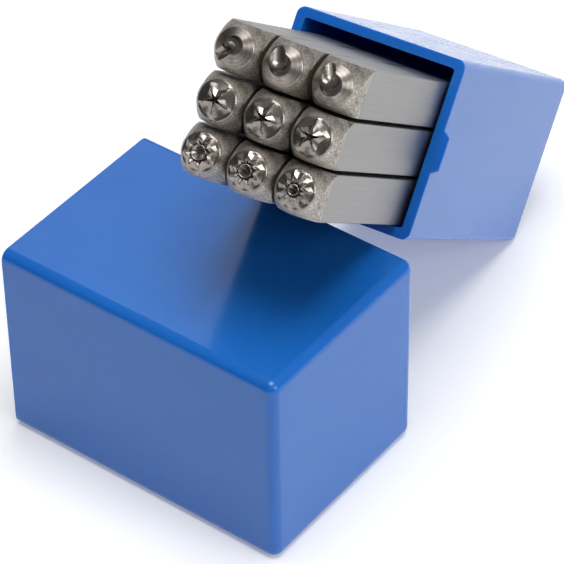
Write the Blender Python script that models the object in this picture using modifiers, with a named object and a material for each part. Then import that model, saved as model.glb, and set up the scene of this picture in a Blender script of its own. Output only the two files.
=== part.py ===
"""Set of nine steel design stamps in a two-piece moulded case.

The lid lies on its side on the surface.  The base leans over the lid's back edge,
mouth up, and holds three rows of three stamps: moons, stars and suns.

Metres, +Z up.  The origin is the middle of the face that the lid lies on; +X points
from the lid's mouth to its closed end.
"""
import math

import bmesh
import bpy
from mathutils import Matrix, Vector

MM = 0.001

# Stamps: quarter-inch square bars with a turned, engraved nose.
SHANK = 6.35 * MM
STAMP_LENGTH = 81.4 * MM
SHANK_EDGE = 0.25 * MM
PITCH = 6.82 * MM
RIM_RADIUS = 2.65 * MM
RIM_DROP = 0.95 * MM
RIM_CHAMFER = 0.13 * MM
SHOULDER_RADIUS = 3.17 * MM
SHOULDER_DROP = 2.3 * MM
CORNER_REACH = 4.55 * MM
CORNER_DROP = 5.2 * MM
BUTT_CHAMFER = 0.9 * MM
BUTT_RADIUS = 3.0 * MM
MOON_FACE_RADIUS = 1.7 * MM
GROOVE_DEPTH = 0.35 * MM
EDGE_WIDTH = 0.12 * MM
MOON_STEPS = 36

# Case base: a deep square cup that the stamps stand in.
BASE_WIDTH = 25.0 * MM
BASE_DEPTH = 49.5 * MM
BASE_WALL = 1.4 * MM
BASE_FLOOR = 1.9 * MM
BASE_EDGE = 1.2 * MM
BASE_INNER_EDGE = 0.5 * MM

# Snap lugs on two sides of the base, level with its rim.
LUG_LENGTH = 6.4 * MM
LUG_HEIGHT = 0.95 * MM
LUG_DEPTH = 1.3 * MM
LUG_RAMP = 0.9 * MM
LUG_ROOT = 0.4 * MM

# Case lid: a wider cup that slides over the base and its lugs.
LID_WIDTH = 31.0 * MM
LID_DEPTH = 44.8 * MM
LID_WALL = 1.9 * MM
LID_EDGE = 1.5 * MM
LID_INNER_EDGE = 0.7 * MM

# How the base leans on the lid: its rim's centre, and the turns that lay it over.
BASE_RIM_CENTRE = Vector((5.72, 24.61, 40.25)) * MM
BASE_TURN = math.radians(10.5)
BASE_LEAN = math.radians(52.2)
BASE_ROLL = math.radians(-3.1)

# The bundle of stamps lies against one corner of the base.
BUNDLE_OFFSET = Vector((0.62, -0.70, 0.0)) * MM
BUNDLE_ROLL = math.radians(-1.0)
SEAT_GAP = 0.3 * MM

EDGE_STEPS = 4
SMOOTH_ANGLE = math.radians(35)

CASE_BLUE = (0.010, 0.105, 0.520, 1.0)
STEEL_GREY = (0.420, 0.410, 0.400, 1.0)


def clear_scene():
    """Remove every object, so that the file holds only this model."""
    for thing in list(bpy.data.objects):
        bpy.data.objects.remove(thing, do_unlink=True)


def new_collection(name):
    """Add an empty collection to the scene."""
    group = bpy.data.collections.new(name)
    bpy.context.scene.collection.children.link(group)
    return group


def new_material(name, colour, roughness, metallic):
    """Make a Principled BSDF material."""
    material = bpy.data.materials.new(name)
    material.use_nodes = True
    shader = material.node_tree.nodes["Principled BSDF"]
    shader.inputs["Base Color"].default_value = colour
    shader.inputs["Roughness"].default_value = roughness
    shader.inputs["Metallic"].default_value = metallic
    material.diffuse_color = colour
    return material


def mesh_object(name, shape, group):
    """Turn a bmesh into an object in a collection."""
    mesh = bpy.data.meshes.new(name)
    shape.to_mesh(mesh)
    shape.free()
    thing = bpy.data.objects.new(name, mesh)
    group.objects.link(thing)
    return thing


def box(name, size, centre, group):
    """A box of a given size about a centre, with no scale left on the object."""
    shape = bmesh.new()
    bmesh.ops.create_cube(shape, size=1.0)
    bmesh.ops.scale(shape, vec=size, verts=shape.verts)
    bmesh.ops.translate(shape, vec=centre, verts=shape.verts)
    return mesh_object(name, shape, group)


def hide_cutter(thing):
    """Mark an object as a cutter or guide, which isn't part of the model."""
    thing.hide_render = True
    thing.display_type = "WIRE"
    return thing


def round_edges(thing, radius, wanted):
    """Round the edges that a test picks, with a weighted Bevel modifier."""
    weights = thing.data.attributes.new("bevel_weight_edge", "FLOAT", "EDGE")
    points = thing.data.vertices
    for edge, weight in zip(thing.data.edges, weights.data):
        first, second = (points[index].co for index in edge.vertices)
        weight.value = 1.0 if wanted(first, second) else 0.0
    bevel = thing.modifiers.new("round edges", "BEVEL")
    bevel.limit_method = "WEIGHT"
    bevel.width = radius
    bevel.segments = EDGE_STEPS
    return bevel


def combine(thing, other, operation):
    """Boolean one object with another."""
    step = thing.modifiers.new(operation.lower(), "BOOLEAN")
    step.operation = operation
    step.solver = "EXACT"
    step.object = other
    return step


def circle(radius):
    """The outline of a circle: its radius at any angle."""
    return lambda angle: radius


def star(points, tip, notch, first_tip):
    """The outline of a star with straight sides: its radius at any angle."""
    half = math.pi / points

    def radius(angle):
        turn = (angle - first_tip) % (2 * half)
        turn = min(turn, 2 * half - turn)
        return tip * notch * math.sin(half) / (tip * math.sin(turn) + notch * math.sin(half - turn))

    return radius


def lofted(name, sections, steps, first_angle, group):
    """A closed solid through a stack of outlines about Z, from (outline, height) pairs, top first."""
    shape = bmesh.new()
    rings = []
    for outline, height in sections:
        angles = [first_angle + math.tau * step / steps for step in range(steps)]
        places = [(outline(angle) * math.cos(angle), outline(angle) * math.sin(angle), height) for angle in angles]
        rings.append([shape.verts.new(place) for place in places])
    for upper, lower in zip(rings, rings[1:]):
        for step in range(steps):
            after = (step + 1) % steps
            shape.faces.new((upper[step], lower[step], lower[after], upper[after]))
    shape.faces.new(rings[0])
    shape.faces.new(list(reversed(rings[-1])))
    bmesh.ops.recalc_face_normals(shape, faces=shape.faces)
    return mesh_object(name, shape, group)


def square_cup(name, width, depth, wall, floor, edge, inner_edge, groups):
    """An open square cup on Z = 0, mouth up, with rounded outer edges except at its rim."""
    parts, cutters = groups
    cup = box(name, (width, width, depth), (0, 0, depth / 2), parts)
    round_edges(cup, edge, lambda first, second: min(first.z, second.z) < depth / 2)
    inside = width - 2 * wall
    height = depth - floor
    cavity = box(name + " cavity", (inside, inside, 2 * height), (0, 0, floor + height), cutters)
    round_edges(cavity, inner_edge, lambda first, second: min(first.z, second.z) < floor + height)
    combine(cup, hide_cutter(cavity), "DIFFERENCE")
    return cup


def snap_lug(side, groups):
    """One ramped lug outside the base's wall, its end level with the rim."""
    cutters = groups[1]
    shape = bmesh.new()
    bmesh.ops.create_cube(shape, size=1.0)
    height = LUG_HEIGHT + LUG_ROOT
    bmesh.ops.scale(shape, vec=(height, LUG_LENGTH, LUG_DEPTH), verts=shape.verts)
    for corner in shape.verts:
        if corner.co.x > 0:
            corner.co.y -= math.copysign(LUG_RAMP, corner.co.y)
            if corner.co.z < 0:
                corner.co.z += LUG_RAMP / 2
    centre = Vector((BASE_WIDTH / 2 + (LUG_HEIGHT - LUG_ROOT) / 2, 0, BASE_DEPTH - LUG_DEPTH / 2))
    bmesh.ops.translate(shape, vec=centre, verts=shape.verts)
    half_turn = math.pi if side < 0 else 0.0
    bmesh.ops.rotate(shape, cent=(0, 0, 0), matrix=Matrix.Rotation(half_turn, 3, "Z"), verts=shape.verts)
    return hide_cutter(mesh_object("lug form", shape, cutters))


def crescent_groove(outer, inner, opening, offset, group):
    """A crescent-shaped cutter, centred on its outer arc, that opens towards an angle."""
    half = math.acos((outer ** 2 + offset ** 2 - inner ** 2) / (2 * outer * offset))
    inner_half = math.asin(outer * math.sin(half) / inner)
    if offset > outer * math.cos(half):
        inner_half = math.pi - inner_half
    points = []
    for step in range(1, MOON_STEPS):
        turn = half + (math.tau - 2 * half) * step / MOON_STEPS
        points.append((outer * math.cos(turn), outer * math.sin(turn)))
    for step in range(MOON_STEPS + 1):
        turn = -inner_half - (math.tau - 2 * inner_half) * step / MOON_STEPS
        points.append((offset + inner * math.cos(turn), inner * math.sin(turn)))
    shape = bmesh.new()
    flat = shape.faces.new([shape.verts.new((x, y, -GROOVE_DEPTH)) for x, y in points])
    raised = bmesh.ops.extrude_face_region(shape, geom=[flat])["geom"]
    tops = [item for item in raised if isinstance(item, bmesh.types.BMVert)]
    bmesh.ops.translate(shape, vec=(0, 0, 3 * GROOVE_DEPTH), verts=tops)
    bmesh.ops.recalc_face_normals(shape, faces=shape.faces)
    bmesh.ops.rotate(shape, cent=(0, 0, 0), matrix=Matrix.Rotation(opening, 3, "Z"), verts=shape.verts)
    return hide_cutter(mesh_object("crescent", shape, group))


def pocket(across, along, depth, opening, group):
    """An egg-shaped cutter that sinks into the face and runs out towards an angle."""
    shape = bmesh.new()
    bmesh.ops.create_icosphere(shape, subdivisions=3, radius=1.0)
    height = 1.25 * across
    bmesh.ops.scale(shape, vec=(along, across, height), verts=shape.verts)
    bmesh.ops.translate(shape, vec=(0, 0, height - depth), verts=shape.verts)
    bmesh.ops.rotate(shape, cent=(0, 0, 0), matrix=Matrix.Rotation(opening, 3, "Z"), verts=shape.verts)
    return hide_cutter(mesh_object("pocket", shape, group))


class Moon:
    """A crescent on a turned cone: a grooved crescent beside a pocket that is ground away."""

    def __init__(self, centre, outer, inner, opening, offset, star_place=None):
        self.centre = Vector((*centre, 0)) * MM
        self.outer = outer * MM
        self.inner = inner * MM
        self.opening = math.radians(opening)
        self.offset = offset * MM
        self.star_place = star_place

    def sections(self):
        """The outlines of the nose above its rim."""
        return [(circle(MOON_FACE_RADIUS), 0.0)], MOON_STEPS, 0.0

    def engrave(self, bar, name, cutters):
        """Cut the crescent's groove and the pocket, and leave a small star if there is one."""
        top = self.centre + Vector((0, 0, STAMP_LENGTH))
        away = Vector((math.cos(self.opening), math.sin(self.opening), 0))
        groove = crescent_groove(self.outer - EDGE_WIDTH, self.inner + EDGE_WIDTH, self.opening, self.offset, cutters)
        groove.location = top
        along = 1.45 * self.inner
        hollow = pocket(self.inner * 1.25, along, 0.45 * self.inner, self.opening, cutters)
        hollow.location = top + away * (self.offset + along - self.inner * 1.12)
        combine(bar, hollow, "DIFFERENCE")
        combine(bar, groove, "DIFFERENCE")
        made = [groove, hollow]
        if self.star_place:
            outline = star(5, 0.75 * MM, 0.32 * MM, math.radians(20))
            heights = (-0.12 * MM, -1.6 * MM)
            small_star = lofted(name + " small star", [(outline, height) for height in heights], 10,
                                math.radians(20), cutters)
            small_star.location = Vector((*self.star_place, 0)) * MM + Vector((0, 0, STAMP_LENGTH))
            combine(bar, hide_cutter(small_star), "UNION")
            made.append(small_star)
        return made


class Star:
    """A five-pointed edge round a sunk star, with a valley from each notch to the rim."""

    POINTS = 5
    TIP = 1.42 * MM
    NOTCH = 0.52 * MM
    SINK = 0.85 * MM
    HEART = 0.05 * MM

    def __init__(self, first_tip):
        self.first_tip = math.radians(first_tip)

    def sections(self):
        """The outlines of the nose above its rim."""
        outline = star(self.POINTS, self.TIP, self.NOTCH, self.first_tip)
        return [(circle(self.HEART), -self.SINK), (outline, 0.0)], 8 * self.POINTS, self.first_tip

    def engrave(self, bar, name, cutters):
        """Nothing more: the outlines hold the whole design."""
        return []


class Sun:
    """A ring round a conical hole, inside a rayed edge, with a valley between each two rays."""

    HOLE_DEPTH = 0.9 * MM
    MOAT_DEPTH = 0.3 * MM
    RING_WIDTH = 0.12 * MM
    HEART = 0.15 * MM

    def __init__(self, rays, ring, notch, tip, first_ray):
        self.rays = rays
        self.ring = ring * MM
        self.notch = notch * MM
        self.tip = tip * MM
        self.first_ray = math.radians(first_ray)

    def sections(self):
        """The outlines of the nose above its rim."""
        rays = star(self.rays, self.tip, self.notch, self.first_ray)
        found = [
            (circle(self.HEART), -self.HOLE_DEPTH),
            (circle(self.ring - self.RING_WIDTH), 0.0),
            (circle(self.ring), 0.0),
            (circle(self.ring + 0.4 * self.RING_WIDTH), -self.MOAT_DEPTH),
            (rays, -0.04 * MM),
        ]
        return found, 4 * self.rays, self.first_ray

    def engrave(self, bar, name, cutters):
        """Nothing more: the outlines hold the whole design."""
        return []


# One row of stamps after another, from the top, each from left to right:
# node name, design, and how much longer than the plain length the stamp is (mm).
STAMPS = (
    ("left_moon_stamp", Moon((0.1, 0.45), 1.2, 0.98, 225, 0.55, star_place=(-0.62, -0.3)), 0.1),
    ("middle_moon_stamp", Moon((-0.15, 0.15), 1.45, 1.25, 135, 0.77), 0.1),
    ("right_moon_stamp", Moon((0.0, 0.0), 1.45, 1.27, 130, 1.1), -0.3),
    ("left_star_stamp", Star(57), 0.1),
    ("middle_star_stamp", Star(72), 0.3),
    ("right_star_stamp", Star(90), 0.6),
    ("left_sun_stamp", Sun(8, 1.0, 1.22, 1.85, 20), -0.5),
    ("middle_sun_stamp", Sun(9, 0.88, 1.1, 1.7, 22), 0.0),
    ("right_sun_stamp", Sun(11, 0.72, 0.97, 1.6, 12), 0.1),
)


def stamp(name, design, extra, material, groups):
    """One stamp: a square bar, turned down at its nose and butt, then engraved."""
    parts, cutters = groups
    butt = -extra * MM
    bar = box(name, (SHANK, SHANK, STAMP_LENGTH - butt), (0, 0, (STAMP_LENGTH + butt) / 2), parts)
    long_edge = STAMP_LENGTH / 2
    round_edges(bar, SHANK_EDGE, lambda first, second: abs(first.z - second.z) > long_edge).segments = 1

    nose, steps, first_angle = design.sections()
    below = [
        (circle(RIM_RADIUS - RIM_CHAMFER), -RIM_DROP + RIM_CHAMFER),
        (circle(RIM_RADIUS), -RIM_DROP),
        (circle(SHOULDER_RADIUS), -SHOULDER_DROP),
        (circle(CORNER_REACH), -CORNER_DROP),
        (circle(CORNER_REACH), butt + BUTT_CHAMFER - STAMP_LENGTH),
        (circle(BUTT_RADIUS), butt - STAMP_LENGTH),
    ]
    sections = [(outline, STAMP_LENGTH + height) for outline, height in nose + below]
    blank = hide_cutter(lofted(name + " blank", sections, steps, first_angle, cutters))
    combine(bar, blank, "INTERSECT")
    bar.data.materials.append(material)
    return bar, [blank] + design.engrave(bar, name, cutters)


def build():
    """Model the case and the stamps, and lay them out."""
    clear_scene()
    groups = (new_collection("design stamp set"), new_collection("cutters"))
    parts = groups[0]
    plastic = new_material("blue moulded case plastic", CASE_BLUE, 0.22, 0.0)
    steel = new_material("ground tool steel", STEEL_GREY, 0.35, 1.0)

    lid = square_cup("case_lid", LID_WIDTH, LID_DEPTH, LID_WALL, LID_WALL, LID_EDGE, LID_INNER_EDGE, groups)
    lid.location = (LID_DEPTH / 2, 0, LID_WIDTH / 2)
    lid.rotation_euler = (0, -math.pi / 2, 0)
    lid.data.materials.append(plastic)

    base = square_cup("case_base", BASE_WIDTH, BASE_DEPTH, BASE_WALL, BASE_FLOOR, BASE_EDGE,
                      BASE_INNER_EDGE, groups)
    base.data.materials.append(plastic)

    lean = (Matrix.Rotation(BASE_TURN, 4, "Z") @ Matrix.Rotation(BASE_LEAN, 4, "X")
            @ Matrix.Rotation(BASE_ROLL, 4, "Z"))
    base_place = bpy.data.objects.new("base place", None)
    parts.objects.link(base_place)
    base_place.matrix_world = Matrix.Translation(BASE_RIM_CENTRE) @ lean @ Matrix.Translation((0, 0, -BASE_DEPTH))
    base.parent = base_place
    for side in (-1, 1):
        lug = snap_lug(side, groups)
        lug.parent = base_place
        combine(base, lug, "UNION")
    for cutter in groups[1].objects:
        if cutter.name.startswith("case_base"):
            cutter.parent = base_place
        elif cutter.name.startswith("case_lid"):
            cutter.location = lid.location
            cutter.rotation_euler = lid.rotation_euler

    for number, (name, design, extra) in enumerate(STAMPS):
        row, column = divmod(number, 3)
        bar, guides = stamp(name, design, extra, steel, groups)
        seat = bpy.data.objects.new(name + " seat", None)
        parts.objects.link(seat)
        seat.parent = base_place
        grid = Matrix.Rotation(BUNDLE_ROLL, 4, "Z") @ Vector(((column - 1) * PITCH, (1 - row) * PITCH, 0))
        seat.location = BUNDLE_OFFSET + grid + Vector((0, 0, BASE_FLOOR + SEAT_GAP + extra * MM))
        seat.rotation_euler = (0, 0, BUNDLE_ROLL)
        for thing in [bar] + guides:
            thing.parent = seat

    bpy.context.view_layer.update()
    for thing in parts.objects:
        if thing.type == "MESH":
            thing.data.shade_smooth()
            thing.data.set_sharp_from_angle(angle=SMOOTH_ANGLE)


build()
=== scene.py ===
"""Looks for a set of nine steel design stamps in a two-piece moulded case.

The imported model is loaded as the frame.  Each of its pieces is then replaced by one
with the finished surface: the lid and the base of the case, and nine engraved stamps.
"""

import logging
import math
from contextlib import contextmanager
from dataclasses import dataclass, field
from enum import Enum
from typing import Callable, Iterator, Sequence

import bmesh
import bpy
from mathutils import Matrix, Vector


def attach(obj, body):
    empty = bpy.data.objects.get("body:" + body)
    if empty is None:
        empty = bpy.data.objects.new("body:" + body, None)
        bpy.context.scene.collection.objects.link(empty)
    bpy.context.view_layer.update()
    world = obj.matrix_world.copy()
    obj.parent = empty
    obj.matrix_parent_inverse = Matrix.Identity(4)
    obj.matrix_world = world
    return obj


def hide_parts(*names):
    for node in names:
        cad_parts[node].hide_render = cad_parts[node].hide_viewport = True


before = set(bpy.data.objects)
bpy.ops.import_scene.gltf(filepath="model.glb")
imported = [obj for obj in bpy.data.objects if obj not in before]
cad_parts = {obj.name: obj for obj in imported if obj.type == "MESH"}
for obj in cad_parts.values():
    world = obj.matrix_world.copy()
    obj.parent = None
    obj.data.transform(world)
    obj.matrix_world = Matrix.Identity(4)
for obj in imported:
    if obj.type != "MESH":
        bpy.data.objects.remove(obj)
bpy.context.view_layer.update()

LOG = logging.getLogger("stamp_set")
MM = 0.001
SMOOTH_ANGLE = math.radians(28)
CRISP_ANGLE = math.radians(8)  # an engraved nose keeps every edge above this
FORM = "form"  # the attribute that keeps a piece's own, unplaced coordinates

NEAR = 0.01 * MM  # how far a corner may be from the place that picks it

Outline = Callable[[float], float]
Sections = list[tuple[Outline, float]]
Test = Callable[[bmesh.types.BMEdge | bmesh.types.BMFace], bool]


# ---------------------------------------------------------------- working with a piece


def select_only(piece: bpy.types.Object) -> None:
    """Select one object alone and make it active.

    Args:
        piece: The object to select.
    """
    bpy.ops.object.select_all(action="DESELECT")
    piece.select_set(True)
    bpy.context.view_layer.objects.active = piece


@contextmanager
def editing(piece: bpy.types.Object, mode: str = "EDGE") -> Iterator[None]:
    """Hold a piece in edit mode with nothing selected.

    Args:
        piece: The piece to edit.
        mode: The selection mode: VERT, EDGE or FACE.
    """
    select_only(piece)
    bpy.ops.object.mode_set(mode="EDIT")
    bpy.ops.mesh.select_mode(type=mode)
    bpy.ops.mesh.select_all(action="DESELECT")
    yield
    bpy.ops.object.mode_set(mode="OBJECT")


def pick(piece: bpy.types.Object, mode: str, wanted: Test) -> None:
    """Select the edges or faces that pass a test, in edit mode, and nothing else.

    Args:
        piece: The piece in edit mode.
        mode: EDGE or FACE.
        wanted: Says whether an edge or a face is wanted.
    """
    bpy.ops.mesh.select_mode(type=mode)
    bpy.ops.mesh.select_all(action="DESELECT")
    shape = bmesh.from_edit_mesh(piece.data)
    parts = shape.edges if mode == "EDGE" else shape.faces
    for part in [part for part in parts if wanted(part)]:
        part.select_set(True)
    bmesh.update_edit_mesh(piece.data)


def half_widths(part: bmesh.types.BMEdge) -> list[float]:
    """How far out from the axis an edge's corners are, square-wise."""
    return [max(abs(corner.co.x), abs(corner.co.y)) for corner in part.verts]


def heights(part: bmesh.types.BMEdge | bmesh.types.BMFace) -> list[float]:
    """The heights of an edge's or a face's corners."""
    return [corner.co.z for corner in part.verts]


def apply_modifier(piece: bpy.types.Object, kind: str, **settings: object) -> None:
    """Add a modifier, set it and apply it.

    Args:
        piece: The piece to change.
        kind: Blender's name for the kind of modifier.
        settings: The modifier's properties.
    """
    select_only(piece)
    step = piece.modifiers.new(kind.lower(), kind)
    for name, value in settings.items():
        setattr(step, name, value)
    bpy.ops.object.modifier_apply(modifier=step.name)


def combine(piece: bpy.types.Object, other: bpy.types.Object, operation: str) -> None:
    """Boolean a piece with another object, which is then removed.

    Args:
        piece: The piece that stays.
        other: The object that cuts, joins or limits it.
        operation: DIFFERENCE, UNION or INTERSECT.
    """
    apply_modifier(piece, "BOOLEAN", operation=operation, solver="EXACT", object=other)
    bpy.data.objects.remove(other, do_unlink=True)


def new_box(name: str, size: Sequence[float], centre: Sequence[float]) -> bpy.types.Object:
    """Add a box, with its size and place in its mesh.

    Args:
        name: The object's name.
        size: Its three sides.
        centre: Its middle.

    Returns:
        The new object.
    """
    bpy.ops.object.select_all(action="DESELECT")
    bpy.ops.mesh.primitive_cube_add(size=1.0, location=(0, 0, 0))
    piece = bpy.context.object
    piece.name = name
    with editing(piece):
        bpy.ops.mesh.select_all(action="SELECT")
        bpy.ops.transform.resize(value=size)
        bpy.ops.transform.translate(value=centre)
    return piece


def rings_of(edge: bmesh.types.BMEdge, steps: int) -> set[int]:
    """The rings that an edge's corners are on, where each ring has the given number of steps."""
    return {corner.index // steps for corner in edge.verts}


def loft(name: str, sections: Sections, steps: int, start: float) -> bpy.types.Object:
    """Model a closed solid by bridging rings that are shaped to a stack of outlines.

    Args:
        name: The object's name.
        sections: An outline and a height for each ring, in order along the solid.
        steps: How many corners each ring has.
        start: The angle of each ring's first corner.

    Returns:
        The new object.
    """
    bpy.ops.object.select_all(action="DESELECT")
    bpy.ops.mesh.primitive_circle_add(vertices=steps, radius=1.0, location=(0, 0, 0))
    piece = bpy.context.object
    piece.name = name
    with editing(piece):
        for _ in sections[1:]:
            bpy.ops.mesh.select_all(action="DESELECT")
            bpy.ops.mesh.primitive_circle_add(vertices=steps, radius=1.0, location=(0, 0, 0))
        shape = bmesh.from_edit_mesh(piece.data)
        for corner in shape.verts:
            ring, step = divmod(corner.index, steps)
            outline, height = sections[ring]
            angle = start + math.tau * step / steps
            corner.co = (outline(angle) * math.cos(angle), outline(angle) * math.sin(angle), height)
        bmesh.update_edit_mesh(piece.data)
        for ring in range(1, len(sections)):
            pick(piece, "EDGE", lambda edge: rings_of(edge, steps) in ({ring - 1}, {ring}))
            bpy.ops.mesh.bridge_edge_loops()
        for ring in (0, len(sections) - 1):
            pick(piece, "EDGE", lambda edge: rings_of(edge, steps) == {ring})
            bpy.ops.mesh.edge_face_add()
        bpy.ops.mesh.select_all(action="SELECT")
        bpy.ops.mesh.normals_make_consistent(inside=False)
    return piece


def settle(piece: bpy.types.Object, place: Matrix) -> None:
    """Keep a piece's own coordinates as an attribute, move it to its place and shade it.

    Args:
        piece: The finished piece, still in its own coordinates.
        place: Where it goes.
    """
    points = [value for corner in piece.data.vertices for value in corner.co]
    own = piece.data.attributes.new(FORM, "FLOAT_VECTOR", "POINT")
    own.data.foreach_set("vector", points)
    piece.data.transform(place)
    piece.data.update()
    select_only(piece)
    bpy.ops.object.shade_smooth_by_angle(angle=SMOOTH_ANGLE)
    apply_modifier(piece, "WEIGHTED_NORMAL", keep_sharp=True, weight=60)


# ------------------------------------------------------------------------- outlines


def circle(radius: float) -> Outline:
    """The outline of a circle: its radius at any angle."""
    return lambda angle: radius


def off_circle(radius: float, centre: Vector) -> Outline:
    """The outline of a circle that isn't centred on the axis.

    Args:
        radius: The circle's radius.
        centre: Its centre, which the axis passes inside it.

    Returns:
        The distance from the axis at any angle.
    """
    away = centre.to_2d().length
    towards = math.atan2(centre.y, centre.x)

    def reach(angle: float) -> float:
        turn = angle - towards
        return away * math.cos(turn) + math.sqrt(radius ** 2 - (away * math.sin(turn)) ** 2)

    return reach


def star(points: int, tip: float, notch: float, first_tip: float) -> Outline:
    """The outline of a star with straight sides.

    Args:
        points: How many points it has.
        tip: The radius of its points.
        notch: The radius of the notches between them.
        first_tip: The angle of its first point.

    Returns:
        The radius at any angle.
    """
    half = math.pi / points

    def reach(angle: float) -> float:
        turn = (angle - first_tip) % (2 * half)
        turn = min(turn, 2 * half - turn)
        return tip * notch * math.sin(half) / (tip * math.sin(turn) + notch * math.sin(half - turn))

    return reach


# ------------------------------------------------------------------------- finishes


def linear(code: str) -> tuple[float, float, float, float]:
    """Turn an sRGB hex colour to linear.

    Args:
        code: The colour, such as "#1556c0".

    Returns:
        Linear red, green, blue and alpha.
    """
    parts = [int(code[place:place + 2], 16) / 255 for place in (1, 3, 5)]
    bent = [part / 12.92 if part <= 0.04045 else ((part + 0.055) / 1.055) ** 2.4 for part in parts]
    return (bent[0], bent[1], bent[2], 1.0)


def feed(tree: bpy.types.NodeTree, node: bpy.types.Node, **sockets: object) -> None:
    """Set or link a node's inputs.

    Args:
        tree: The material's node tree.
        node: The node.
        sockets: A value or an output for each input, by its name with _ for a space, or by
            its number after at_.
    """
    for name, value in sockets.items():
        label = name.replace("_", " ")
        socket = node.inputs[int(label[3:])] if label.startswith("at ") else node.inputs[label]
        if isinstance(value, bpy.types.NodeSocket):
            tree.links.new(value, socket)
        else:
            socket.default_value = value


def add_node(tree: bpy.types.NodeTree, kind: str, settings: dict[str, object] | None = None,
             **sockets: object) -> bpy.types.Node:
    """Add a node with its settings and links.

    Args:
        tree: The material's node tree.
        kind: The node's type.
        settings: The node's own properties.
        sockets: What feeds each input, as for feed.

    Returns:
        The new node.
    """
    node = tree.nodes.new(kind)
    for name, value in (settings or {}).items():
        setattr(node, name, value)
    feed(tree, node, **sockets)
    return node


def new_tree(name: str) -> tuple[bpy.types.Material, bpy.types.NodeTree, bpy.types.Node]:
    """Start a material with only a Principled shader.

    Args:
        name: The material's name.

    Returns:
        The material, its tree and its shader.
    """
    material = bpy.data.materials.new(name)
    material.use_nodes = True
    tree = material.node_tree
    tree.nodes.clear()
    shader = add_node(tree, "ShaderNodeBsdfPrincipled")
    add_node(tree, "ShaderNodeOutputMaterial", Surface=shader.outputs["BSDF"])
    return material, tree, shader


def own_place(tree: bpy.types.NodeTree, period_mm: Sequence[float],
              source: str = FORM) -> bpy.types.NodeSocket:
    """The piece's own coordinates, counted in periods of a pattern.

    Args:
        tree: The material's node tree.
        period_mm: The pattern's period along each of the piece's own axes, in mm.
        source: The attribute that holds the coordinates, or "Object" for the object's.

    Returns:
        The scaled coordinates.
    """
    if source == "Object":
        place = add_node(tree, "ShaderNodeTexCoord").outputs["Object"]
    else:
        place = add_node(tree, "ShaderNodeAttribute", {"attribute_name": source}).outputs["Vector"]
    scale = [1000.0 / period for period in period_mm]
    return add_node(tree, "ShaderNodeMapping", Vector=place, Scale=scale).outputs["Vector"]


def ramp(tree: bpy.types.NodeTree, factor: bpy.types.NodeSocket, low: float, high: float,
         to_low: float, to_high: float) -> bpy.types.NodeSocket:
    """Map a value from one range to another, held at its ends.

    Args:
        tree: The material's node tree.
        factor: The value.
        low: The value's low end.
        high: The value's high end.
        to_low: What the low end becomes.
        to_high: What the high end becomes.

    Returns:
        The mapped value.
    """
    node = add_node(tree, "ShaderNodeMapRange", Value=factor, From_Min=low, From_Max=high,
                    To_Min=to_low, To_Max=to_high)
    return node.outputs["Result"]


@dataclass(frozen=True)
class MouldedPolypropylene:
    """Glossy polypropylene, injection moulded in solid blue.

    Its mould was polished, so it mirrors its surroundings, a little softened by the skin's
    orange peel and slow sink.  Light enters it for a millimetre or so, which makes thin
    edges glow in a purer blue.
    """

    name: str = "moulded blue polypropylene"
    deep: str = "#1366be"
    bright: str = "#1a70c9"
    flow_mm: tuple[float, float, float] = (16.0, 16.0, 32.0)
    handling_mm: tuple[float, float, float] = (4.0, 4.0, 9.0)
    sink_mm: float = 14.0
    sink_depth_mm: float = 0.1
    peel_mm: float = 1.1
    peel_depth_mm: float = 0.0022
    gloss_low: float = 0.13
    gloss_high: float = 0.21
    index: float = 1.49
    glow_weight: float = 0.4
    glow_depth_mm: float = 2.6
    glow_share: tuple[float, float, float] = (0.15, 0.45, 1.0)

    def build(self) -> bpy.types.Material:
        """Make the material."""
        material, tree, shader = new_tree(self.name)
        flow = add_node(tree, "ShaderNodeTexNoise", Vector=own_place(tree, self.flow_mm), Scale=1.0,
                        Detail=3.0, Roughness=0.5)
        colour = add_node(tree, "ShaderNodeMix", {"data_type": "RGBA"}, Factor=flow.outputs["Fac"],
                          at_6=linear(self.deep), at_7=linear(self.bright))
        handling = add_node(tree, "ShaderNodeTexNoise", Vector=own_place(tree, self.handling_mm), Scale=1.0,
                            Detail=6.0, Roughness=0.62)
        gloss = ramp(tree, handling.outputs["Fac"], 0.35, 0.7, self.gloss_low, self.gloss_high)
        sink = add_node(tree, "ShaderNodeTexNoise", Vector=own_place(tree, (self.sink_mm,) * 3), Scale=1.0,
                        Detail=1.0)
        slow = add_node(tree, "ShaderNodeBump", Strength=1.0, Distance=self.sink_depth_mm * MM,
                        Height=sink.outputs["Fac"])
        peel = add_node(tree, "ShaderNodeTexNoise", Vector=own_place(tree, (self.peel_mm,) * 3), Scale=1.0,
                        Detail=2.0)
        skin = add_node(tree, "ShaderNodeBump", Strength=1.0, Distance=self.peel_depth_mm * MM,
                        Height=peel.outputs["Fac"], Normal=slow.outputs["Normal"])
        feed(tree, shader, Base_Color=colour.outputs[2], Roughness=gloss, Normal=skin.outputs["Normal"],
             IOR=self.index, Subsurface_Weight=self.glow_weight, Subsurface_Radius=self.glow_share,
             Subsurface_Scale=self.glow_depth_mm * MM)
        return material


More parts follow.
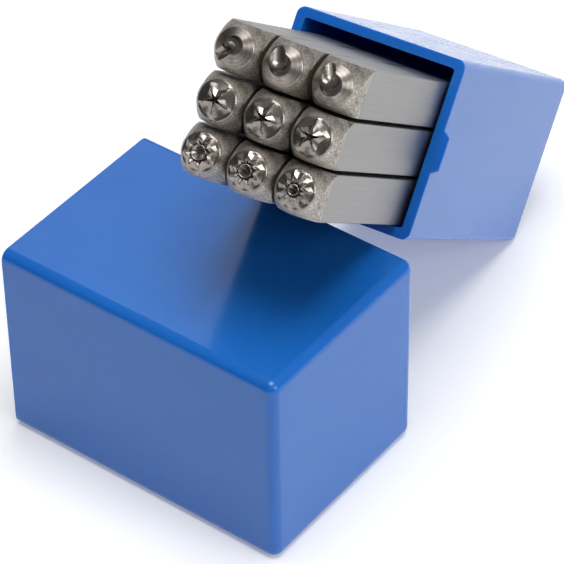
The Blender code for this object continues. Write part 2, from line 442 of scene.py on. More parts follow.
@dataclass(frozen=True)
class GroundSteel:
    """Tool steel bar, surface ground along its length.

    The wheel leaves fine lines along the bar, so it looks satin and its shine is drawn
    out across the lines; a light oil film and handling make it patchy.
    """

    name: str = "ground tool steel"
    light: str = "#a6a4a2"
    dark: str = "#868583"
    line_mm: float = 0.09  # a wheel's lines are nearer 0.03 mm; drawn coarser so that they show
    line_length_mm: float = 14.0
    line_depth_mm: float = 0.006
    patch_mm: tuple[float, float, float] = (3.5, 3.5, 9.0)
    patch_tint: float = 0.65
    line_tint: float = 0.35
    gloss_low: float = 0.36
    gloss_high: float = 0.46

    def build(self) -> bpy.types.Material:
        """Make the material."""
        material, tree, shader = new_tree(self.name)
        along = own_place(tree, (self.line_mm, self.line_mm, self.line_length_mm))
        lines = add_node(tree, "ShaderNodeTexNoise", Vector=along, Scale=1.0, Detail=3.0, Roughness=0.6)
        patch = add_node(tree, "ShaderNodeTexNoise", Vector=own_place(tree, self.patch_mm), Scale=1.0,
                         Detail=4.0)
        tone = add_node(tree, "ShaderNodeMath", {"operation": "MULTIPLY_ADD", "use_clamp": True},
                        at_0=patch.outputs["Fac"], at_1=self.patch_tint,
                        at_2=ramp(tree, lines.outputs["Fac"], 0.3, 0.7, 0.0, self.line_tint))
        colour = add_node(tree, "ShaderNodeMix", {"data_type": "RGBA"}, Factor=tone.outputs["Value"],
                          at_6=linear(self.dark), at_7=linear(self.light))
        gloss = ramp(tree, patch.outputs["Fac"], 0.3, 0.7, self.gloss_low, self.gloss_high)
        bump = add_node(tree, "ShaderNodeBump", Strength=0.6, Distance=self.line_depth_mm * MM,
                        Height=lines.outputs["Fac"])
        feed(tree, shader, Base_Color=colour.outputs[2], Roughness=gloss, Normal=bump.outputs["Normal"],
             Metallic=1.0)
        return material


@dataclass(frozen=True)
class BlastedSteel:
    """The same steel, hardened and then grit blasted round the nose.

    Blasting leaves a field of tiny craters, so it looks matt, speckled and a little warm.
    """

    name: str = "blasted tool steel"
    light: str = "#ddd6cd"
    dark: str = "#736d67"
    grit_mm: float = 0.3  # the grit is nearer 0.1 mm; drawn coarser so that it shows
    grit_depth_mm: float = 0.035
    cloud_mm: float = 2.6
    grit_tint: float = 0.7
    cloud_tint: float = 0.3
    gloss_low: float = 0.48
    gloss_high: float = 0.62

    def build(self) -> bpy.types.Material:
        """Make the material."""
        material, tree, shader = new_tree(self.name)
        grain = add_node(tree, "ShaderNodeTexNoise", Vector=own_place(tree, (self.grit_mm,) * 3), Scale=1.0,
                         Detail=4.0, Roughness=0.7)
        cloud = add_node(tree, "ShaderNodeTexNoise", Vector=own_place(tree, (self.cloud_mm,) * 3), Scale=1.0,
                         Detail=3.0)
        both = add_node(tree, "ShaderNodeMath", {"operation": "ADD"},
                        at_0=ramp(tree, grain.outputs["Fac"], 0.34, 0.66, 0.0, self.grit_tint),
                        at_1=ramp(tree, cloud.outputs["Fac"], 0.35, 0.65, 0.0, self.cloud_tint))
        colour = add_node(tree, "ShaderNodeMix", {"data_type": "RGBA"}, Factor=both.outputs["Value"],
                          at_6=linear(self.dark), at_7=linear(self.light))
        gloss = ramp(tree, grain.outputs["Fac"], 0.35, 0.65, self.gloss_high, self.gloss_low)
        bump = add_node(tree, "ShaderNodeBump", Strength=0.9, Distance=self.grit_depth_mm * MM,
                        Height=grain.outputs["Fac"])
        feed(tree, shader, Base_Color=colour.outputs[2], Roughness=gloss, Normal=bump.outputs["Normal"],
             Metallic=1.0)
        return material


@dataclass(frozen=True)
class EngravedSteel:
    """Bare steel as a turning tool or an engraving cutter leaves it.

    It is the brightest steel here, with fine tool marks in rings about the stamp's axis
    and a brown tint of tempering in places.
    """

    name: str = "engraved tool steel"
    light: str = "#b0aaa4"
    dark: str = "#857d76"
    feed_mm: float = 0.16  # a fine feed is about 0.05 mm; drawn coarser so that it shows
    feed_depth_mm: float = 0.0015
    chatter_mm: float = 0.464
    chatter_tint: float = 0.05
    smear_mm: tuple[float, float, float] = (0.9, 0.9, 1.6)
    smear_depth_mm: float = 0.008
    gloss_low: float = 0.24
    gloss_high: float = 0.32
    wave_length: float = math.tau / 20  # the rings' period in the wave texture's own units

    def build(self) -> bpy.types.Material:
        """Make the material."""
        material, tree, shader = new_tree(self.name)
        wave = {"wave_type": "RINGS", "rings_direction": "Z", "wave_profile": "SIN"}
        rings = add_node(tree, "ShaderNodeTexWave", wave,
                         Vector=own_place(tree, (self.feed_mm / self.wave_length,) * 3),
                         Scale=1.0, Distortion=0.8, Detail=2.0, Detail_Scale=2.0)
        chatter = add_node(tree, "ShaderNodeTexWave", wave,
                           Vector=own_place(tree, (self.chatter_mm / self.wave_length,) * 3),
                           Scale=1.0, Distortion=1.2, Detail=3.0, Detail_Scale=1.5)
        smear = add_node(tree, "ShaderNodeTexNoise", Vector=own_place(tree, self.smear_mm), Scale=1.0,
                         Detail=4.0, Roughness=0.55)
        tone = add_node(tree, "ShaderNodeMath", {"operation": "MULTIPLY_ADD"}, at_0=chatter.outputs["Fac"],
                        at_1=self.chatter_tint, at_2=smear.outputs["Fac"])
        colour = add_node(tree, "ShaderNodeMix", {"data_type": "RGBA"},
                          Factor=ramp(tree, tone.outputs["Value"], 0.3, 0.9, 0.0, 1.0),
                          at_6=linear(self.dark), at_7=linear(self.light))
        gloss = ramp(tree, smear.outputs["Fac"], 0.3, 0.7, self.gloss_high, self.gloss_low)
        marks = add_node(tree, "ShaderNodeBump", Strength=1.0, Distance=self.feed_depth_mm * MM,
                         Height=rings.outputs["Fac"])
        bump = add_node(tree, "ShaderNodeBump", Strength=0.4, Distance=self.smear_depth_mm * MM,
                        Height=smear.outputs["Fac"], Normal=marks.outputs["Normal"])
        feed(tree, shader, Base_Color=colour.outputs[2], Roughness=gloss, Normal=bump.outputs["Normal"],
             Metallic=1.0)
        return material


# A turned cone is duller than an engraved facet, and its rings spread the light along its radius.
TURNED_STEEL = EngravedSteel(name="turned tool steel", light="#aca6a0", dark="#7e766f", feed_depth_mm=0.006,
                             chatter_tint=0.22, gloss_low=0.27, gloss_high=0.35)


@dataclass(frozen=True)
class LitTable:
    """A matt opal acrylic table lit from below, which keeps its white under any object.

    The glow softens the shadows and puts a pale reflection into everything that faces it.
    """

    name: str = "lit opal acrylic"
    light: str = "#f6f6f6"
    dark: str = "#f0f0f0"
    glow: float = 0.25
    fibre_mm: float = 1.1
    roughness: float = 0.9

    def build(self) -> bpy.types.Material:
        """Make the material."""
        material, tree, shader = new_tree(self.name)
        fibre = add_node(tree, "ShaderNodeTexNoise", Vector=own_place(tree, (self.fibre_mm,) * 3, "Object"),
                         Scale=1.0, Detail=2.0)
        shade = add_node(tree, "ShaderNodeMix", {"data_type": "RGBA"}, Factor=fibre.outputs["Fac"],
                         at_6=linear(self.dark), at_7=linear(self.light))
        feed(tree, shader, Base_Color=shade.outputs[2], Emission_Color=shade.outputs[2],
             Emission_Strength=self.glow, Roughness=self.roughness)
        return material


# ---------------------------------------------------------------------------- case


@dataclass
class Cup:
    """An open, square moulded cup on the XY plane, with its mouth up."""

    node: str
    body: str
    width: float
    depth: float
    wall: float
    floor: float
    outer_edge: float
    inner_edge: float
    rim_edge: float = 0.16 * MM
    draft: float = 0.12 * MM
    outer_steps: int = 7
    inner_steps: int = 4
    rim_steps: int = 3

    def model(self) -> bpy.types.Object:
        """Model the cup.

        Returns:
            The cup, in its own coordinates.
        """
        inside = self.width / 2 - self.wall
        cup = new_box(f"{self.node}_skin", (self.width, self.width, self.depth), (0, 0, self.depth / 2))
        with editing(cup, "FACE"):
            pick(cup, "FACE", lambda face: face.normal.z > 0.9)
            bpy.ops.mesh.inset(thickness=self.wall)
            bpy.ops.mesh.extrude_region_move(TRANSFORM_OT_translate={"value": (0, 0, self.floor - self.depth)})
            narrower = 1 - self.draft / inside
            bpy.ops.transform.resize(value=(narrower, narrower, 1), center_override=(0, 0, self.floor))
            outer = self.width / 2 - NEAR
            pick(cup, "EDGE",
                 lambda edge: min(half_widths(edge)) > outer and min(heights(edge)) < self.depth / 2)
            bpy.ops.mesh.bevel(offset=self.outer_edge, segments=self.outer_steps, affect="EDGES")
            near = inside + NEAR
            bottom = self.floor + NEAR
            pick(cup, "EDGE", lambda edge: max(half_widths(edge)) < near and min(heights(edge)) < bottom)
            bpy.ops.mesh.bevel(offset=self.inner_edge, segments=self.inner_steps, affect="EDGES")
            top = self.depth - NEAR
            pick(cup, "EDGE", lambda edge: min(heights(edge)) > top
                 and any(abs(face.normal.z) < 0.5 for face in edge.link_faces))
            bpy.ops.mesh.bevel(offset=self.rim_edge, segments=self.rim_steps, affect="EDGES")
        return cup

    def dress(self, cup: bpy.types.Object, place: Matrix, plastic: bpy.types.Material) -> None:
        """Put the cup in its place, give it its finish and join it to the frame.

        Args:
            cup: The modelled cup.
            place: Where it goes.
            plastic: Its finish.
        """
        cup.data.materials.clear()
        cup.data.materials.append(plastic)
        settle(cup, place)
        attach(cup, self.body)
        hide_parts(self.node)
        LOG.info("%s: %d faces", cup.name, len(cup.data.polygons))


@dataclass
class Lid(Cup):
    """The case's lid, which lies on its side with its closed end towards +X."""

    def build(self, plastic: bpy.types.Material) -> None:
        """Model and dress the lid.

        Args:
            plastic: The case's finish.
        """
        stand = Matrix.Translation((self.depth / 2, 0, self.width / 2))
        self.dress(self.model(), stand @ Matrix.Rotation(-math.pi / 2, 4, "Y"), plastic)


@dataclass
class Base(Cup):
    """The case's base, with a ramped snap lug on two of its sides."""

    lug_length: float = 6.4 * MM
    lug_height: float = 0.95 * MM
    lug_depth: float = 1.3 * MM
    lug_ramp: float = 0.9 * MM
    lug_root: float = 0.4 * MM
    lug_edge: float = 0.14 * MM
    lug_below: float = 0.02 * MM

    def lug(self, side: int) -> bpy.types.Object:
        """Model one lug outside the wall, its end a hair below the rim.

        Args:
            side: 1 for the +X side, -1 for the -X side.

        Returns:
            The lug, ready to be joined to the cup.
        """
        height = self.lug_height + self.lug_root
        middle = self.width / 2 + (self.lug_height - self.lug_root) / 2
        top = self.depth - self.lug_below
        lug = new_box("lug", (height, self.lug_length, self.lug_depth),
                      (side * middle, 0, top - self.lug_depth / 2))
        with editing(lug, "FACE"):
            pick(lug, "FACE", lambda face: face.normal.x * side > 0.9)
            shorter = 1 - 2 * self.lug_ramp / self.lug_length
            thinner = 1 - self.lug_ramp / 2 / self.lug_depth
            bpy.ops.transform.resize(value=(1, shorter, thinner), center_override=(0, 0, top))
            bpy.ops.mesh.select_all(action="SELECT")
            bpy.ops.mesh.bevel(offset=self.lug_edge, segments=self.rim_steps, affect="EDGES")
        return lug

    def build(self, plastic: bpy.types.Material, place: Matrix) -> None:
        """Model and dress the base.

        Args:
            plastic: The case's finish.
            place: How it leans.
        """
        cup = self.model()
        for side in (-1, 1):
            combine(cup, self.lug(side), "UNION")
        self.dress(cup, place, plastic)


# -------------------------------------------------------------------------- stamps


class Surface(Enum):
    """The finishes along a stamp, in the order of its material slots."""

    GROUND = 0
    BLASTED = 1
    ENGRAVED = 2
    TURNED = 3


@dataclass
class Nose:
    """What every nose shares: the turned rim and the way down from it to the square bar."""

    rim_radius: float = 2.65 * MM
    rim_drop: float = 0.95 * MM
    rim_chamfer: float = 0.13 * MM
    shoulder_radius: float = 3.17 * MM
    shoulder_drop: float = 2.3 * MM
    corner_reach: float = 4.55 * MM
    corner_drop: float = 5.2 * MM
    land: float = 0.12 * MM
    lip: float = 0.05 * MM
    swell: float = 0.12 * MM
    finish: Surface = Surface.ENGRAVED

    def below(self) -> Sections:
        """The sections from the rim to the corners of the bar, as heights from the nose's end."""
        upper = (self.shoulder_radius + self.rim_radius) / 2
        lower = (self.shoulder_radius + self.corner_reach) / 2
        return [
            (circle(self.rim_radius - self.rim_chamfer), -self.rim_drop + self.rim_chamfer),
            (circle(self.rim_radius), -self.rim_drop),
            (circle(self.rim_radius), -self.rim_drop - self.land),
            (circle(self.rim_radius + self.lip), -self.rim_drop - self.land - 0.08 * MM),
            (circle(upper + self.swell), (-self.rim_drop - self.shoulder_drop) / 2),
            (circle(self.shoulder_radius + 0.08 * MM), -self.shoulder_drop),
            (circle(lower + 0.14 * MM), (-self.shoulder_drop - self.corner_drop) / 2),
            (circle(self.corner_reach), -self.corner_drop),
        ]

    def sections(self) -> tuple[Sections, int, float]:
        """The sections above the rim, the number of steps round them and the first angle."""
        raise NotImplementedError

    def engrave(self, bar: bpy.types.Object, end: float) -> None:
        """Cut what the sections can't hold.

        Args:
            bar: The stamp, turned to its sections.
            end: The height of its nose's end.
        """


@dataclass
class StarNose(Nose):
    """A five-pointed edge round a sunk star, with a valley from each notch to the rim."""

    first_tip: float = 90.0
    points: int = 5
    tip: float = 1.45 * MM
    notch: float = 0.42 * MM
    sink: float = 0.8 * MM
    edge_width: float = 0.08 * MM
    valleys: tuple[tuple[float, float, float], ...] = (
        (2.0 * MM, 1.28 * MM, -0.44 * MM),
        (2.4 * MM, 2.12 * MM, -0.72 * MM),
    )

    def sections(self) -> tuple[Sections, int, float]:
        """The sections above the rim, the number of steps round them and the first angle."""
        start = math.radians(self.first_tip)
        edge = star(self.points, self.tip, self.notch, start)
        inner = star(self.points, self.tip - self.edge_width, self.notch - 0.03 * MM, start)
        found = [(star(self.points, 0.16 * MM, 0.02 * MM, start), -self.sink), (inner, -0.02 * MM), (edge, 0.0)]
        found += [(star(self.points, tip, notch, start), height) for tip, notch, height in self.valleys]
        return found, 32 * self.points, start


@dataclass
class SunNose(Nose):
    """A ring round a conical hole, inside a rayed edge, with a valley between each two rays."""

    rays: int = 8
    ring: float = 1.0 * MM
    notch: float = 1.22 * MM
    tip: float = 1.85 * MM
    first_ray: float = 0.0
    hole_depth: float = 0.95 * MM
    moat_depth: float = 0.42 * MM
    ring_width: float = 0.11 * MM
    edge_width: float = 0.13 * MM

    def sections(self) -> tuple[Sections, int, float]:
        """The sections above the rim, the number of steps round them and the first angle."""
        start = math.radians(self.first_ray)
        edge = star(self.rays, self.tip, self.notch, start)
        inner = star(self.rays, self.tip - self.edge_width, self.notch - 0.06 * MM, start)
        found = [
            (circle(0.12 * MM), -self.hole_depth),
            (circle(self.ring - self.ring_width), -0.03 * MM),
            (circle(self.ring - 0.4 * self.ring_width), 0.0),
            (circle(self.ring + 0.1 * self.ring_width), -0.05 * MM),
            (circle(self.ring + 0.5 * self.ring_width), -self.moat_depth),
            (inner, -0.06 * MM),
            (edge, -0.03 * MM),
            (star(self.rays, self.tip + 0.24 * MM, self.notch + 0.42 * MM, start), -0.4 * MM),
            (star(self.rays, 2.42 * MM, 2.16 * MM, start), -0.72 * MM),
        ]
        return found, 20 * self.rays, start


@dataclass
class MoonNose(Nose):
    """A crescent on a turned cone: its sunk inside, and the pocket ground away beside it."""

    centre: Vector = field(default_factory=lambda: Vector((0, 0, 0)))
    outer: float = 1.45 * MM
    inner: float = 1.25 * MM
    opening: float = 135.0
    offset: float = 0.77 * MM
    face: float = 1.47 * MM
    edge_width: float = 0.10 * MM
    groove_depth: float = 0.42 * MM
    pocket_towards: float = 112.0
    pocket_fall: float = 9.0
    pocket_depth: float = 0.58 * MM
    pocket_reach: float = 2.5 * MM
    outer_flare: float = 0.3 * MM
    inner_flare: float = 0.95 * MM
    steps: int = 144
    cutter_steps: int = 96
    finish: Surface = Surface.TURNED

    def sections(self) -> tuple[Sections, int, float]:
        """The sections above the rim, the number of steps round them and the first angle."""
        return [(off_circle(self.face, self.centre), 0.0)], self.steps, 0.0

    def away(self) -> Vector:
        """The direction in which the crescent opens."""
        turn = math.radians(self.opening)
        return Vector((math.cos(turn), math.sin(turn), 0))

    def groove(self, end: float) -> bpy.types.Object:
        """Model the cutter for the crescent's sunk inside: a cone less a cone.

        Args:
            end: The height of the nose's end.

        Returns:
            The cutter.
        """
        height = 4 * self.groove_depth
        middle = Vector((0, 0, end - self.groove_depth + height / 2))
        solid = self.cone(self.outer - self.edge_width, self.outer_flare, height, self.centre + middle)
        core = self.cone(self.inner + self.edge_width, -self.inner_flare, height * 1.1,
                         self.centre + self.away() * self.offset + middle)
        combine(solid, core, "DIFFERENCE")
        return solid

    def cone(self, radius: float, flare: float, height: float, place: Vector) -> bpy.types.Object:
        """Add one of the groove's cones.

        Args:
            radius: Its radius at the nose's end, a quarter of the way up.
            flare: How much wider its top is than its bottom.
            height: Its height.
            place: Its middle.

        Returns:
            The cone.
        """
        bpy.ops.object.select_all(action="DESELECT")
        bpy.ops.mesh.primitive_cone_add(vertices=self.cutter_steps, radius1=radius - 0.25 * flare,
                                        radius2=radius + 0.75 * flare, depth=height, location=place)
        return bpy.context.object

    def pocket(self, end: float, place: Vector, radius: float, deeper: float) -> bpy.types.Object:
        """Model the cutter for a pocket: a ball nose fed out past the rim, falling as it goes.

        Args:
            end: The height of the nose's end.
            place: The middle of the pocket's round end.
            radius: The radius of the ball nose.
            deeper: How far the pocket sinks below the nose's end.

        Returns:
            The cutter.
        """
        bpy.ops.object.select_all(action="DESELECT")
        bpy.ops.mesh.primitive_uv_sphere_add(segments=self.cutter_steps, ring_count=self.cutter_steps // 2,
                                             radius=radius, location=(0, 0, 0), rotation=(0, math.pi / 2, 0))
        ball = bpy.context.object
        bpy.ops.object.transform_apply(location=False, rotation=True, scale=False)
        ahead = 0.02 * radius
        with editing(ball):
            pick(ball, "EDGE", lambda edge: all(corner.co.x > ahead for corner in edge.verts))
            bpy.ops.transform.translate(value=(self.pocket_reach, 0, 0))
        fall = Matrix.Rotation(math.radians(self.pocket_fall), 4, "Y")
        lies = Matrix.Rotation(math.radians(self.pocket_towards), 4, "Z") @ fall
        ball.data.transform(Matrix.Translation(place + Vector((0, 0, end + radius - deeper))) @ lies)
        return ball

    def engrave(self, bar: bpy.types.Object, end: float) -> None:
        """Grind the pocket and sink the crescent's inside.

        Args:
            bar: The stamp, turned to its sections.
            end: The height of its nose's end.
        """
        place = self.centre + self.away() * self.offset
        combine(bar, self.pocket(end, place, self.inner, self.pocket_depth), "DIFFERENCE")
        combine(bar, self.groove(end), "DIFFERENCE")


@dataclass
class SteppedMoonNose(MoonNose):
    """A crescent whose pocket has a smaller and deeper dish sunk in it."""

    dish: float = 0.86 * MM
    dish_place: tuple[float, float] = (-0.62 * MM, 1.08 * MM)
    dish_depth: float = 0.98 * MM

    def engrave(self, bar: bpy.types.Object, end: float) -> None:
        """Grind both pockets and sink the crescent's inside.

        Args:
            bar: The stamp, turned to its sections.
            end: The height of its nose's end.
        """
        super().engrave(bar, end)
        place = Vector((*self.dish_place, 0))
        combine(bar, self.pocket(end, place, self.dish, self.dish_depth), "DIFFERENCE")


@dataclass
class StarMoonNose(MoonNose):
    """A crescent with a small star in the pocket beside it."""

    star_place: tuple[float, float] = (-0.72 * MM, -0.3 * MM)
    star_tip: float = 0.8 * MM
    star_notch: float = 0.24 * MM
    star_turn: float = 24.0
    star_sink: float = 0.42 * MM
    star_foot: float = 1.5 * MM
    star_flare: float = 0.25 * MM

    def engrave(self, bar: bpy.types.Object, end: float) -> None:
        """Grind the pocket, leave the star in it and sink the crescent's inside.

        Args:
            bar: The stamp, turned to its sections.
            end: The height of its nose's end.
        """
        super().engrave(bar, end)
        start = math.radians(self.star_turn)
        edge = star(5, self.star_tip, self.star_notch, start)
        foot = star(5, self.star_tip + self.star_flare, self.star_notch + self.star_flare, start)
        sections = [(circle(0.02 * MM), -self.star_sink), (edge, -0.02 * MM), (foot, -self.star_foot)]
        small = loft("small star", sections, 40, start)
        small.data.transform(Matrix.Translation((*self.star_place, end)))
        combine(bar, small, "UNION")


@dataclass
class Stamp:
    """One stamp: a square ground bar with a blasted, turned and engraved nose."""

    node: str
    nose: Nose
    extra: float
    blasted: float
    shank: float = 6.35 * MM
    length: float = 81.4 * MM
    long_edge: float = 0.22 * MM
    butt_chamfer: float = 0.9 * MM
    butt_radius: float = 3.0 * MM
    mask_step: float = 0.02 * MM
    mask_ramp: float = 0.05 * MM
    edge_break: float = 0.022 * MM
    break_angle: float = 24.0

    @property
    def body(self) -> str:
        """The body that the stamp rides on."""
        return self.node.removesuffix("_stamp")

    def bar(self) -> bpy.types.Object:
        """Model the square bar, a hair thinner where it is blasted.

        Returns:
            The bar, with its butt just below the XY plane.
        """
        butt = -self.extra
        tall = self.length - butt
        bar = new_box(f"{self.node}_steel", (self.shank, self.shank, tall), (0, 0, butt + tall / 2))
        with editing(bar):
            pick(bar, "EDGE", lambda edge: max(heights(edge)) - min(heights(edge)) > tall / 2)
            bpy.ops.mesh.bevel(offset=self.long_edge, segments=3, affect="EDGES")
            for level in (self.length - self.blasted, self.length - self.blasted + self.mask_ramp):
                bpy.ops.mesh.select_all(action="SELECT")
                bpy.ops.mesh.bisect(plane_co=(0, 0, level), plane_no=(0, 0, 1))
            level = self.length - self.blasted + 0.03 * MM
            pick(bar, "FACE", lambda face: min(heights(face)) > level)
            thinner = 1 - 2 * self.mask_step / self.shank
            bpy.ops.transform.resize(value=(thinner, thinner, 1), center_override=(0, 0, level))
        return bar

    def model(self) -> bpy.types.Object:
        """Model the stamp.

        Returns:
            The stamp, in its own coordinates, with its finishes marked.
        """
        butt = -self.extra
        found, steps, start = self.nose.sections()
        found = found + self.nose.below() + [
            (circle(self.nose.corner_reach), butt + self.butt_chamfer - self.length),
            (circle(self.butt_radius), butt - self.length),
        ]
        blank = loft("blank", [(outline, self.length + height) for outline, height in found], steps, start)
        apply_modifier(blank, "BEVEL", width=self.edge_break, segments=2, limit_method="ANGLE",
                       angle_limit=math.radians(self.break_angle), use_clamp_overlap=True)
        bar = self.bar()
        combine(bar, blank, "INTERSECT")
        self.nose.engrave(bar, self.length)
        rim = self.length - self.nose.rim_drop
        with editing(bar):
            pick(bar, "EDGE", lambda edge: edge.calc_face_angle(0.0) > CRISP_ANGLE and min(heights(edge)) > rim)
            bpy.ops.mesh.mark_sharp()
        self.mark(bar)
        return bar

    def mark(self, bar: bpy.types.Object) -> None:
        """Give each face the finish of its part of the stamp.

        Args:
            bar: The modelled stamp.
        """
        rim = self.length - self.nose.rim_drop - self.nose.land - self.mask_step
        edge = self.length - self.blasted + NEAR
        for face in bar.data.polygons:
            if face.center.z > rim:
                face.material_index = self.nose.finish.value
            elif face.center.z > edge:
                face.material_index = Surface.BLASTED.value
            else:
                face.material_index = Surface.GROUND.value

    def build(self, place: Matrix, finishes: dict[Surface, bpy.types.Material]) -> None:
        """Model and dress the stamp.

        Args:
            place: Where it stands.
            finishes: The finish of each of its surfaces.
        """
        bar = self.model()
        marks = [face.material_index for face in bar.data.polygons]
        bar.data.materials.clear()
        for surface in Surface:
            bar.data.materials.append(finishes[surface])
        for face, mark in zip(bar.data.polygons, marks):
            face.material_index = mark
        settle(bar, place)
        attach(bar, self.body)
        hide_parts(self.node)
        LOG.info("%s: %d faces", bar.name, len(bar.data.polygons))


def default_stamps() -> tuple[Stamp, ...]:
    """The nine stamps, row by row from the top, each row from left to right."""
    return (
        Stamp("left_moon_stamp",
              StarMoonNose(centre=Vector((0.1, 0.42, 0)) * MM, outer=1.2 * MM, inner=0.98 * MM, opening=225.0,
                           offset=0.5 * MM, face=1.22 * MM, pocket_towards=225.0, pocket_fall=20.0,
                           pocket_depth=0.26 * MM), 0.1 * MM, 5.0 * MM),
        Stamp("middle_moon_stamp", MoonNose(centre=Vector((-0.15, 0.15, 0)) * MM), 0.1 * MM, 5.2 * MM),
        Stamp("right_moon_stamp",
              SteppedMoonNose(inner=1.27 * MM, opening=130.0, offset=1.0 * MM, pocket_towards=118.0,
                              pocket_depth=0.4 * MM), -0.3 * MM, 4.6 * MM),
        Stamp("left_star_stamp", StarNose(first_tip=57.0), 0.1 * MM, 3.6 * MM),
        Stamp("middle_star_stamp", StarNose(first_tip=72.0), 0.3 * MM, 3.8 * MM),
        Stamp("right_star_stamp", StarNose(first_tip=90.0), 0.6 * MM, 3.7 * MM),
        Stamp("left_sun_stamp",
              SunNose(rays=8, ring=1.0 * MM, notch=1.22 * MM, tip=1.85 * MM, first_ray=20.0),
              -0.5 * MM, 4.0 * MM),
        Stamp("middle_sun_stamp",
              SunNose(rays=9, ring=0.88 * MM, notch=1.1 * MM, tip=1.7 * MM, first_ray=22.0),
              0.0, 4.1 * MM),
        Stamp("right_sun_stamp",
              SunNose(rays=11, ring=0.72 * MM, notch=0.97 * MM, tip=1.6 * MM, first_ray=12.0),
              0.1 * MM, 4.3 * MM),
    )


@dataclass
class StampSet:
    """The whole set: how the base leans, and where each stamp stands in it."""

    lid: Lid = field(default_factory=lambda: Lid(
        "case_lid", "lid", 31.0 * MM, 44.8 * MM, 1.9 * MM, 1.9 * MM, 1.5 * MM, 0.7 * MM))
    base: Base = field(default_factory=lambda: Base(
        "case_base", "base", 25.0 * MM, 49.5 * MM, 1.4 * MM, 1.9 * MM, 1.2 * MM, 0.5 * MM))
    stamps: tuple[Stamp, ...] = field(default_factory=default_stamps)
    rim_centre: Vector = field(default_factory=lambda: Vector((5.72, 24.61, 40.25)) * MM)
    turn: float = 10.5
    lean: float = 52.2
    roll: float = -3.1
    pitch: float = 6.82 * MM
    bundle_offset: Vector = field(default_factory=lambda: Vector((0.62, -0.70, 0.0)) * MM)
    bundle_roll: float = -1.0
    seat_gap: float = 0.3 * MM

    def base_place(self) -> Matrix:
        """How the base leans over the lid's back edge."""
        leans = (Matrix.Rotation(math.radians(self.turn), 4, "Z")
                 @ Matrix.Rotation(math.radians(self.lean), 4, "X")
                 @ Matrix.Rotation(math.radians(self.roll), 4, "Z"))
        return Matrix.Translation(self.rim_centre) @ leans @ Matrix.Translation((0, 0, -self.base.depth))

    def stamp_place(self, number: int) -> Matrix:
        """Where a stamp stands.

        Args:
            number: Its place in the order of the stamps.

        Returns:
            Its placement.
        """
        row, column = divmod(number, 3)
        rolled = Matrix.Rotation(math.radians(self.bundle_roll), 4, "Z")
        grid = rolled @ Vector(((column - 1) * self.pitch, (1 - row) * self.pitch, 0))
        seat = Vector((0, 0, self.base.floor + self.seat_gap + self.stamps[number].extra))
        return self.base_place() @ Matrix.Translation(self.bundle_offset + grid + seat) @ rolled

    def build(self) -> None:
        """Build the case and the stamps."""
        plastic = MouldedPolypropylene().build()
        finishes = {
            Surface.GROUND: GroundSteel().build(),
            Surface.BLASTED: BlastedSteel().build(),
            Surface.ENGRAVED: EngravedSteel().build(),
            Surface.TURNED: TURNED_STEEL.build(),
        }
        self.lid.build(plastic)
        self.base.build(plastic, self.base_place())
        for number, stamp in enumerate(self.stamps):
            stamp.build(self.stamp_place(number), finishes)


# -------------------------------------------------------------------------- studio


@dataclass
class SoftBox:
    """One square soft light that faces the set."""

    name: str
    place: tuple[float, float, float]
    size: float
    power: float
    colour: str = "#ffffff"
    target: tuple[float, float, float] = (0.0, 0.02, 0.025)

    def build(self) -> None:
        """Add the light."""
        lamp = bpy.data.lights.new(self.name, "AREA")
        lamp.shape = "SQUARE"
        lamp.size = self.size
        lamp.energy = self.power
        lamp.color = linear(self.colour)[:3]
        light = bpy.data.objects.new(self.name, lamp)
        bpy.context.scene.collection.objects.link(light)
        light.location = self.place
        aim = Vector(self.target) - Vector(self.place)
        light.rotation_euler = aim.to_track_quat("-Z", "Y").to_euler()


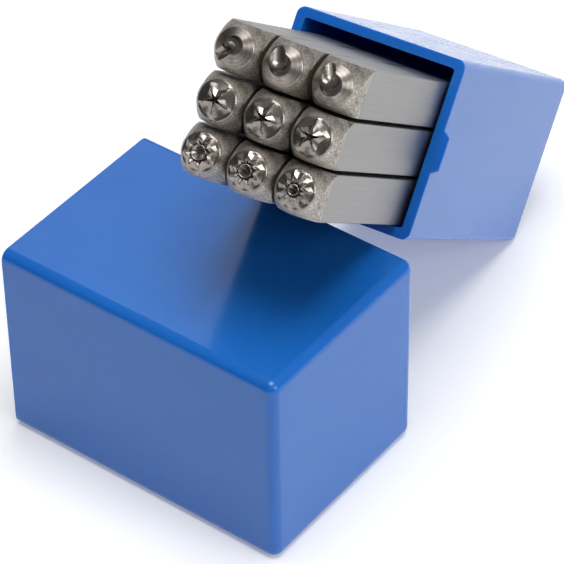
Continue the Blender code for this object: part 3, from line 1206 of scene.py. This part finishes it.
@dataclass
class Studio:
    """A lit white table, soft lights and the camera."""

    floor_size: float = 6.0
    bright_side: str = "#ffffff"
    dim_side: str = "#2f3339"
    surround_strength: float = 0.27
    bright_towards: tuple[float, float, float] = (0.45, 0.3, 0.85)
    lens: float = 200.2
    camera_place: tuple[float, float, float] = (0.1963, -0.2419, 0.2991)
    camera_tilt: float = 48.78
    camera_turn: float = 37.27
    camera_roll: float = -0.82
    lights: tuple[SoftBox, ...] = (
        SoftBox("overhead softbox", (0.06, 0.02, 1.05), 0.62, 8.2),
        SoftBox("right softbox", (0.95, 0.05, 0.55), 0.5, 2.7),
        SoftBox("back softbox", (-0.62, 0.95, 0.85), 0.6, 1.4, "#e6f0ff"),
    )

    def build_floor(self) -> None:
        """Lay the white table."""
        bpy.ops.object.select_all(action="DESELECT")
        bpy.ops.mesh.primitive_plane_add(size=self.floor_size, location=(0, 0, 0))
        table = bpy.context.object
        table.name = "studio_floor"
        table.data.materials.append(LitTable().build())

    def build_surround(self) -> None:
        """Light the set from a pale surround that dims towards one side."""
        world = bpy.data.worlds.new("pale surround")
        world.use_nodes = True
        tree = world.node_tree
        backing = tree.nodes["Background"]
        towards = Vector(self.bright_towards).normalized()
        place = add_node(tree, "ShaderNodeTexCoord").outputs["Generated"]
        facing = add_node(tree, "ShaderNodeVectorMath", {"operation": "DOT_PRODUCT"}, at_0=place, at_1=towards)
        share = ramp(tree, facing.outputs["Value"], -0.5, 0.9, 0.0, 1.0)
        shade = add_node(tree, "ShaderNodeMix", {"data_type": "RGBA"}, Factor=share, at_6=linear(self.dim_side),
                         at_7=linear(self.bright_side))
        tree.links.new(shade.outputs[2], backing.inputs["Color"])
        backing.inputs["Strength"].default_value = self.surround_strength
        bpy.context.scene.world = world

    def build_camera(self) -> None:
        """Place the camera."""
        lens = bpy.data.cameras.new("camera")
        lens.lens = self.lens
        lens.clip_start = 0.01
        lens.clip_end = 20.0
        camera = bpy.data.objects.new("camera", lens)
        bpy.context.scene.collection.objects.link(camera)
        aimed = (Matrix.Rotation(math.radians(self.camera_turn), 4, "Z")
                 @ Matrix.Rotation(math.radians(self.camera_tilt), 4, "X")
                 @ Matrix.Rotation(math.radians(self.camera_roll), 4, "Z"))
        camera.matrix_world = Matrix.Translation(self.camera_place) @ aimed
        bpy.context.scene.camera = camera

    def build(self) -> None:
        """Build the studio."""
        self.build_floor()
        self.build_surround()
        self.build_camera()
        for light in self.lights:
            light.build()
        bpy.context.scene.view_settings.view_transform = "Standard"
        LOG.info("studio: %d lights", len(self.lights))


def main() -> None:
    """Build everything in order."""
    logging.basicConfig(level=logging.INFO, format="%(message)s")
    Studio().build()
    StampSet().build()


if __name__ == "__main__":
    main()
